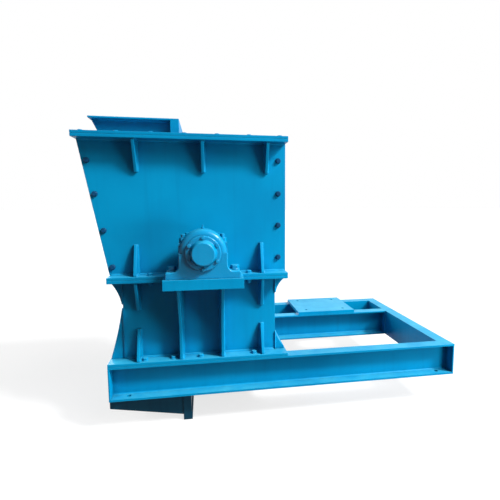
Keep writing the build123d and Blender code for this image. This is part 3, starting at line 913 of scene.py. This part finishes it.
@dataclass
class Housing:
    """Welds and flange bolts of the lower and upper housing.

    Fasteners are given by flats, height, washer and washer thickness in millimetres, other lengths in metres
    unless their name says mm. The heights of the edge bolts are shares of the wall's height.
    """

    bolt: HexFastener = HexFastener(21, 9, 28)
    nut: HexFastener = HexFastener(21, 11, 28, stud_mm=14, stud_reach_mm=6)
    roof_bolt: HexFastener = HexFastener(19, 5.5, 20, 0.6)
    edge_bolt: HexFastener = HexFastener(19, 8, 25)
    bolt_pitch: float = 0.135
    corner_inset: float = 0.034
    side_inset: float = 0.030
    end_inset: float = 0.026
    plate_room: float = 0.018
    bracket_room: float = 0.020
    end_room: float = 0.055
    edge_inset: float = 0.035
    lean_inset: float = 0.022
    edge_heights: tuple[float, ...] = (0.869, 0.613, 0.366, 0.109)
    lean_heights: tuple[float, ...] = (0.850, 0.608, 0.338, 0.062)
    gusset_leg_mm: float = 7.0
    rib_leg_mm: float = 8.0
    end_leg_mm: float = 6.5
    corner_gap: float = 0.004
    tip_gap: float = 0.006
    rib_foot: float = 0.062

    GUSSETS = ("upper_gussets", "lower_gussets", "bracket_ribs", "end_gussets")
    BRACKETS = ("front_bearing_bracket", "rear_bearing_bracket")

    def __post_init__(self) -> None:
        """Read the walls' places from the frame."""
        self.wall_low, self.wall_high = span("upper_front_wall")
        self.rear_y = span("upper_rear_wall")[1][1]
        self.front_y = self.wall_low[1]
        self.middle_y = (self.front_y + self.rear_y) / 2
        self.ribs = [box for box in solid_places("bracket_ribs") if box[1, 1] < self.middle_y]

    def build(self) -> None:
        """Make every weld and bolt of the housing."""
        self.upper_welds()
        self.lower_welds()
        self.rib_welds()
        self.end_welds()
        self.flange_bolts()
        self.edge_bolts()

    def upper_welds(self) -> None:
        """Welds of the upper side walls, their flanges and gussets."""
        flanges = (("upper_flange", Z), ("top_flange", -Z))
        self.side_welds("upper_front_wall", "upper_gussets", flanges, []).piece("upper_housing_welds")

    def lower_welds(self) -> None:
        """Welds of the lower side walls, their flanges and gussets."""
        flanges = (("base_flange", Z), ("lower_flange", -Z))
        self.side_welds("lower_front_wall", "lower_gussets", flanges, self.ribs).piece("lower_housing_welds")

    def side_welds(
        self, wall: str, gussets: str, flanges: Iterable[tuple[str, Array]], crossing: list[Array]
    ) -> Seams:
        """Welds between a side wall, its two flanges and the gussets on it, on both sides.

        Args:
            wall: the front wall's node.
            gussets: the gussets' node.
            flanges: the flange under the wall and the one above it, each with its normal at the joint.
            crossing: boxes of other plates that cross the joints.

        Returns:
            The seams.
        """
        low, high = span(wall)
        plates = [box for box in solid_places(gussets) if box[1, 1] < self.middle_y]
        half = (plates[0][1, 0] - plates[0][0, 0]) / 2
        lines = []
        for flange, normal in flanges:
            up = normal[2] > 0
            z = low[2] if up else high[2]
            there = [box for box in plates if abs(box[0 if up else 1, 2] - z) < MM]
            stops = {round(float(box[:, 0].mean()), DIGITS) for box in there + crossing}
            edge_low, edge_high = span(flange)
            left = max(low[0], edge_low[0]) + self.corner_gap
            right = min(high[0], edge_high[0]) - self.corner_gap
            for first, last in between(left, right, stops, half):
                lines.append(((first, self.front_y, z), (last, self.front_y, z), -Y, normal))
            for box in there:
                tip, far = box[0, 1] + self.tip_gap, box[1 if up else 0, 2]
                for x, outward in ((box[0, 0], -X), (box[1, 0], X)):
                    lines.append(((x, self.front_y, z), (x, self.front_y, far), -Y, outward))
                    lines.append(((x, tip, z), (x, self.front_y, z), normal, outward))
        return Seams.gather(lines, self.gusset_leg_mm).mirrored(self.middle_y)

    def rib_welds(self) -> None:
        """Welds along the ribs that carry the bearing brackets, and of the brackets on the flange edges."""
        low, high = span("lower_front_wall")
        lines = []
        for box in self.ribs:
            for x, outward in ((box[0, 0], -X), (box[1, 0], X)):
                lines.append(((x, self.front_y, low[2]), (x, self.front_y, high[2]), -Y, outward))
                lines.append(((x, low[1] - self.rib_foot, low[2]), (x, self.front_y, low[2]), Z, outward))
        bracket_low, bracket_high = span("front_bearing_bracket")
        back, under = bracket_high[1], span("lower_flange")[0][2]
        for x, outward in ((bracket_low[0], -X), (bracket_high[0], X)):
            lines.append(((x, back, under), (x, back, bracket_high[2]), -Y, outward))
        Seams.gather(lines, self.rib_leg_mm).mirrored(self.middle_y).piece("bearing_rib_welds")

    def end_welds(self) -> None:
        """Welds between the lower end walls, their flanges and the gussets in line with the side walls."""
        low, high = span("lower_end_walls")
        lines = []
        for x, outward in ((low[0], -X), (high[0], X)):
            plates = [box for box in solid_places("end_gussets") if np.sign(box[:, 0].mean()) == outward[0]]
            stops = {round(float(box[:, 1].mean()), DIGITS) for box in plates}
            for z, normal in ((low[2], Z), (high[2], -Z)):
                for first, last in between(low[1], high[1], stops, self.tip_gap):
                    lines.append(((x, first, z), (x, last, z), outward, normal))
            for box in plates:
                for y, aside in ((box[0, 1], -Y), (box[1, 1], Y)):
                    lines.append(((x, y, box[0, 2]), (x, y, box[1, 2]), outward, aside))
        Seams.gather(lines, self.end_leg_mm).piece("end_wall_welds")

    def spread(self, low: float, high: float) -> Array:
        """Even places along an edge, about one pitch apart.

        Args:
            low: where the edge starts.
            high: where it ends.

        Returns:
            The places, from corner inset to corner inset.
        """
        first, last = low + self.corner_inset, high - self.corner_inset
        return np.linspace(first, last, max(2, round((last - first) / self.bolt_pitch) + 1))

    def ring(self, flange: str, room: float, stands: Iterable[str]) -> Array:
        """Bolt places round a flange ring, in plan, clear of what stands on the flange.

        Args:
            flange: the flange's node.
            room: what a bolt needs beside a plate.
            stands: nodes with plates across the flange.

        Returns:
            Places x 2, as X and Y.
        """
        low, high = span(flange)
        x = self.spread(low[0], high[0])
        y = self.spread(low[1], high[1])[1:-1]
        sides = (low[1] + self.side_inset, high[1] - self.side_inset)
        ends = (low[0] + self.end_inset, high[0] - self.end_inset)
        rows = [np.column_stack([x, np.full(len(x), at)]) for at in sides]
        rows += [np.column_stack([np.full(len(y), at), y]) for at in ends]
        places = np.concatenate(rows)
        for node in stands:
            for box in solid_places(node):
                near = (places > box[0, :2] - room) & (places < box[1, :2] + room)
                places = places[~near.all(axis=1)]
        return places

    def along_sides(self, flange: str, places: Array) -> Array:
        """Keep the places along a flange's long sides, off its end bars."""
        low, high = span(flange)
        return places[(places[:, 0] > low[0] + self.end_room) & (places[:, 0] < high[0] - self.end_room)]

    def flange_bolts(self) -> None:
        """Bolts and nuts of the middle flange pair, bolts of the roof and of the base flange on its beams."""
        middle = self.ring("upper_flange", self.plate_room, (*self.GUSSETS, *self.BRACKETS))
        middle = self.along_sides("upper_flange", middle)
        base = self.along_sides("base_flange", self.ring("base_flange", self.bracket_room, self.GUSSETS[1:]))
        roof = self.ring("top_flange", self.plate_room, self.GUSSETS[:1])
        rows = (
            (self.bolt, middle, span("upper_flange")[1][2], Z),
            (self.nut, middle, span("lower_flange")[0][2], -Z),
            (self.roof_bolt, roof, span("top_plate")[1][2], Z),
            (self.bolt, base, span("base_flange")[1][2], Z),
        )
        parts = [
            fastener.surface().repeated(np.column_stack([plan, np.full(len(plan), z)]), axis)
            for fastener, plan, z, axis in rows
        ]
        Surface.joined(parts).piece("flange_bolts", BLUE_BOLTS, Slot.BLUE)

    def edge_bolts(self) -> None:
        """The dark bolts along both edges of the upper side walls."""
        low, high = self.wall_low, self.wall_high
        foot = span("upper_flange")[0][0]
        rise, lean = high[2] - low[2], foot - low[0]
        right = [(high[0] - self.edge_inset, low[2] + share * rise) for share in self.edge_heights]
        left = [(foot - lean * share + self.lean_inset, low[2] + share * rise) for share in self.lean_heights]
        plan = np.array(right + left)
        parts = []
        for side, y in ((Side.FRONT, self.front_y), (Side.REAR, self.rear_y)):
            places = np.column_stack([plan[:, 0], np.full(len(plan), y), plan[:, 1]])
            parts.append(self.edge_bolt.surface().repeated(places, side.value * Y))
        Surface.joined(parts).piece("wall_edge_bolts", NAVY_BOLTS, Slot.SLATE)


@dataclass
class PlummerBlocks:
    """Studs, foot bolts, cover screws and grease nipples of both bearings, and bolts of the seals.

    Fasteners are given by flats, height, washer and washer thickness in millimetres, other lengths in metres.
    """

    cap_nut: HexFastener = HexFastener(30, 17, 37, 4.0, stud_mm=20, stud_reach_mm=16)
    foot_bolt: HexFastener = HexFastener(36, 16, 46, 5.0)
    cover_screw: HexFastener = HexFastener(13, 6, 18, 2.0)
    nipple: HexFastener = HexFastener(11, 6, 13, 1.5, stud_mm=6.5, stud_reach_mm=9)
    seal_bolt: HexFastener = HexFastener(13, 5.5, 17, 1.6)
    boss_spacing: float = 0.168
    boss_height: float = 0.042
    foot_spacing: float = 0.272
    foot_height: float = 0.030
    cover_flange: float = 0.014
    screw_circle: float = 0.067
    screw_count: int = 6
    seal_inset: float = 0.013
    seal_foot: float = 0.036

    def build(self) -> None:
        """Make the fasteners of the front and the rear bearing."""
        for side in Side:
            self.fasten(side)
            self.seal(side)

    def fasten(self, side: Side) -> None:
        """Make one bearing's fasteners.

        Args:
            side: which bearing.
        """
        name = side.name.lower()
        low, high = span(f"{name}_bearing_cap")
        foot = span(f"{name}_bearing_base")[0][2] + self.foot_height
        middle = (low + high) / 2
        ends = np.array([-0.5, 0.5])[:, None]
        bosses = middle * (1 - Z) + (low[2] + self.boss_height) * Z + ends * self.boss_spacing * X
        feet = middle * (1 - Z) + foot * Z + ends * self.foot_spacing * X
        crown = (middle * (1 - Z) + high[2] * Z)[None, :]
        turn = ((np.arange(self.screw_count) + 0.5) * (2 * np.pi / self.screw_count))[:, None]
        face = low[1] - self.cover_flange if side is Side.FRONT else high[1] + self.cover_flange
        axis = middle * X + face * Y + low[2] * Z
        screws = axis + self.screw_circle * (np.cos(turn) * X + np.sin(turn) * Z)
        parts = [
            self.cap_nut.surface().repeated(bosses, Z),
            self.foot_bolt.surface().repeated(feet, Z),
            self.cover_screw.surface().repeated(screws, side.value * Y),
            self.nipple.surface().repeated(crown, Z),
        ]
        Surface.joined(parts).piece(f"{name}_bearing_fasteners", BLUE_CASTING, Slot.BLUE)

    def seal(self, side: Side) -> None:
        """Make the four bolts of one shaft seal's plate.

        Args:
            side: which seal.
        """
        low, high = span("shaft_seals")
        face = low[1] if side is Side.FRONT else high[1]
        columns = (low[0] + self.seal_inset, high[0] - self.seal_inset)
        rows = (low[2] + self.seal_foot, high[2] - self.seal_inset)
        places = np.array([(x, face, z) for x in columns for z in rows])
        bolts = self.seal_bolt.surface().repeated(places, side.value * Y)
        bolts.piece(f"{side.name.lower()}_seal_bolts", BLUE_BOLTS, Slot.BLUE)


@dataclass
class FeedInlet:
    """Welds round the feed inlet."""

    leg_mm: float = 5.5
    corner_gap: float = 0.009

    def build(self) -> None:
        """Make the welds at the inlet's foot and under its rim."""
        low, high = span("inlet_walls")
        bar_low, bar_high = span("inlet_end_beam")
        roof, rim = span("top_plate")[1][2], span("inlet_rim")[0][2]
        left = max(box[0, 0] for box in solid_places("inlet_walls"))
        lines = []
        for y, outward in ((low[1], -Y), (high[1], Y)):
            for z, normal in ((roof, Z), (rim, -Z)):
                lines.append(((left, y, z), (high[0], y, z), outward, normal))
        front, rear = low[1] + self.corner_gap, high[1] - self.corner_gap
        lines.append(((left, front, roof), (left, rear, roof), -X, Z))
        lines.append(((bar_high[0], bar_low[1], roof), (bar_high[0], bar_high[1], roof), X, Z))
        Seams.gather(lines, self.leg_mm).piece("inlet_welds")


@dataclass
class ChannelFrame:
    """Welds of the frame: cross channels to long beams, the motor plate and the base flange on the beams."""

    leg_mm: float = 7.0
    edge_gap: float = 0.004

    def build(self) -> None:
        """Make the frame's welds."""
        front, middle, rear = span("front_beam"), span("middle_beam"), span("rear_beam")
        top = front[1][2]
        faces = ((front[1][1], Y), (rear[0][1], -Y), (middle[0][1], -Y), (middle[1][1], Y))
        left, right = span("left_cross_beam")[1][0], span("right_cross_beam")[0][0]
        lines = []
        for x, inward in ((left, X), (right, -X)):
            for y, aside in faces:
                lines.append(((x, y, self.edge_gap), (x, y, top - self.edge_gap), inward, aside))
        plate_low, plate_high = span("motor_plate")
        flange_right = span("base_flange")[1][0]
        on_top = [(plate_low[0], -X, beam) for beam in (middle, rear)]
        on_top += [(plate_high[0], X, beam) for beam in (middle, rear)]
        on_top += [(flange_right, X, beam) for beam in (front, middle)]
        for x, outward, (low, high) in on_top:
            lines.append(((x, low[1] + self.edge_gap, top), (x, high[1] - self.edge_gap, top), outward, Z))
        Seams.gather(lines, self.leg_mm).piece("frame_welds")


# Floor, light and camera


@dataclass
class Studio:
    """A plain pale floor, soft light from the right, a fill from behind and the photo's viewpoint."""

    camera_place: Place = (0.0214, -1.8691, 0.8843)
    yaw: float = 0.1837
    pitch: float = -0.1145
    focal_pixels: float = 406.9
    frame_pixels: float = 500.0
    middle_pixel: float = 280.0
    sensor_mm: float = 36.0
    floor_half: float = 60.0
    floor_steps: int = 9
    floor_drop: float = 0.0005
    floor_glow: float = 0.76
    floor_roughness: float = 0.9
    floor_hex: str = "8E8E8E"
    bounce_hex: str = "404040"
    key_from: Place = (0.62, -0.40, 0.67)
    key_strength: float = 1.8
    key_angle_deg: float = 50.0
    core_strength: float = 3.8
    core_angle_deg: float = 10.0
    side_place: Place = (1.9, -1.0, 2.3)
    side_size: float = 0.9
    side_watts: float = 30.0
    low_place: Place = (2.0, -1.3, 0.4)
    low_size: float = 0.6
    low_watts: float = 20.0
    fill_from: Place = (-0.55, 0.75, 0.35)
    fill_strength: float = 2.6
    fill_angle_deg: float = 50.0
    box_target: Place = (0.2, 0.1, 0.5)
    ambient: float = 0.06

    def build(self) -> None:
        """Make floor, world, lamps and camera."""
        self.floor()
        self.world()
        self.lamps()
        self.camera()

    def floor(self) -> None:
        """A flat grid at the chute's lowest edge; what the eye sees of it is white but keeps the shadow."""
        steps = np.linspace(-self.floor_half, self.floor_half, self.floor_steps)
        x, y = np.meshgrid(steps, steps, indexing="ij")
        points = np.stack([x, y, np.full_like(x, CAD_BOX[0][2] - self.floor_drop)], axis=-1).reshape(-1, 3)
        index = np.arange(self.floor_steps**2).reshape(self.floor_steps, self.floor_steps)
        quads = np.stack([index[:-1, :-1], index[1:, :-1], index[1:, 1:], index[:-1, 1:]], axis=-1)
        mesh = bpy.data.meshes.new("floor")
        mesh.from_pydata(points.tolist(), [], quads.reshape(-1, 4).tolist())
        coat = Coating("pale_studio_floor")
        seen = seen_by_eye(coat.tree)
        material = coat.closed(
            Base_Color=coat.layered(self.bounce_hex, ((seen, self.floor_hex),)),
            Roughness=self.floor_roughness,
            Specular_IOR_Level=0.0,
            Emission_Color=linear(WHITE),
            Emission_Strength=coat.add("MapRange", {"Value": seen, "To Max": self.floor_glow}),
        )
        mesh.materials.append(material)
        floor = bpy.data.objects.new("floor", mesh)
        bpy.context.scene.collection.objects.link(floor)

    def world(self) -> None:
        """White where it is seen directly, mirrored or through, and a weak even fill elsewhere."""
        world = bpy.data.worlds.new("white_surround")
        bpy.context.scene.world = world
        world.use_nodes = True
        tree = world.node_tree
        tree.nodes.clear()
        strength = add_node(tree, "MapRange", {"Value": seen_by_eye(tree), "To Min": self.ambient})
        light = add_node(tree, "Background", {"Color": linear(WHITE), "Strength": strength})
        add_node(tree, "OutputWorld", {"Surface": light})

    def lamps(self) -> None:
        """A broad key with a small core and two softboxes from the right, and a broad fill from behind."""
        for name, place, strength, angle in (
            ("key", self.key_from, self.key_strength, self.key_angle_deg),
            ("key_core", self.key_from, self.core_strength, self.core_angle_deg),
            ("back_fill", self.fill_from, self.fill_strength, self.fill_angle_deg),
        ):
            sun = bpy.data.lights.new(name, "SUN")
            sun.energy = strength
            sun.angle = math.radians(angle)
            self.aim(sun, place, ORIGIN)
        for name, place, size, watts in (
            ("side_softbox", self.side_place, self.side_size, self.side_watts),
            ("low_softbox", self.low_place, self.low_size, self.low_watts),
        ):
            box = bpy.data.lights.new(name, "AREA")
            box.energy = watts
            box.size = size
            self.aim(box, place, self.box_target).visible_glossy = False

    @staticmethod
    def aim(light: bpy.types.Light, place: Place, target: Place) -> bpy.types.Object:
        """Put a lamp at a place and point it at a target.

        Args:
            light: the lamp's data.
            place: where it stands.
            target: what it points at.

        Returns:
            The lamp, out of the camera's sight.
        """
        lamp = bpy.data.objects.new(light.name, light)
        bpy.context.scene.collection.objects.link(lamp)
        away = np.array(place) - np.array(target)
        lamp.location = place
        lamp.visible_camera = False
        lamp.rotation_euler = Euler(
            (math.atan2(math.hypot(away[0], away[1]), away[2]), 0, math.atan2(away[0], -away[1]))
        )
        return lamp

    def camera(self) -> None:
        """The photo's viewpoint, from a fit of the frame's corners to the picture."""
        data = bpy.data.cameras.new("photo_view")
        data.sensor_width = self.sensor_mm
        data.lens = self.focal_pixels / self.frame_pixels * self.sensor_mm
        data.shift_x = (self.frame_pixels / 2 - self.middle_pixel) / self.frame_pixels
        camera = bpy.data.objects.new("photo_view", data)
        bpy.context.scene.collection.objects.link(camera)
        camera.location = self.camera_place
        camera.rotation_euler = Euler((math.pi / 2 + self.pitch, 0, -self.yaw))
        bpy.context.scene.camera = camera


def main() -> None:
    """Dress the CAD nodes, add what the photo shows on them and set the stage."""
    logging.basicConfig(level=logging.INFO, format="%(name)s %(message)s")
    bpy.context.scene.view_settings.view_transform = "Standard"
    for assembly in (PlateWork(), ChannelFrame(), Housing(), FeedInlet(), PlummerBlocks(), Studio()):
        assembly.build()
        log.info("%s done", type(assembly).__name__)


if __name__ == "__main__":
    main()
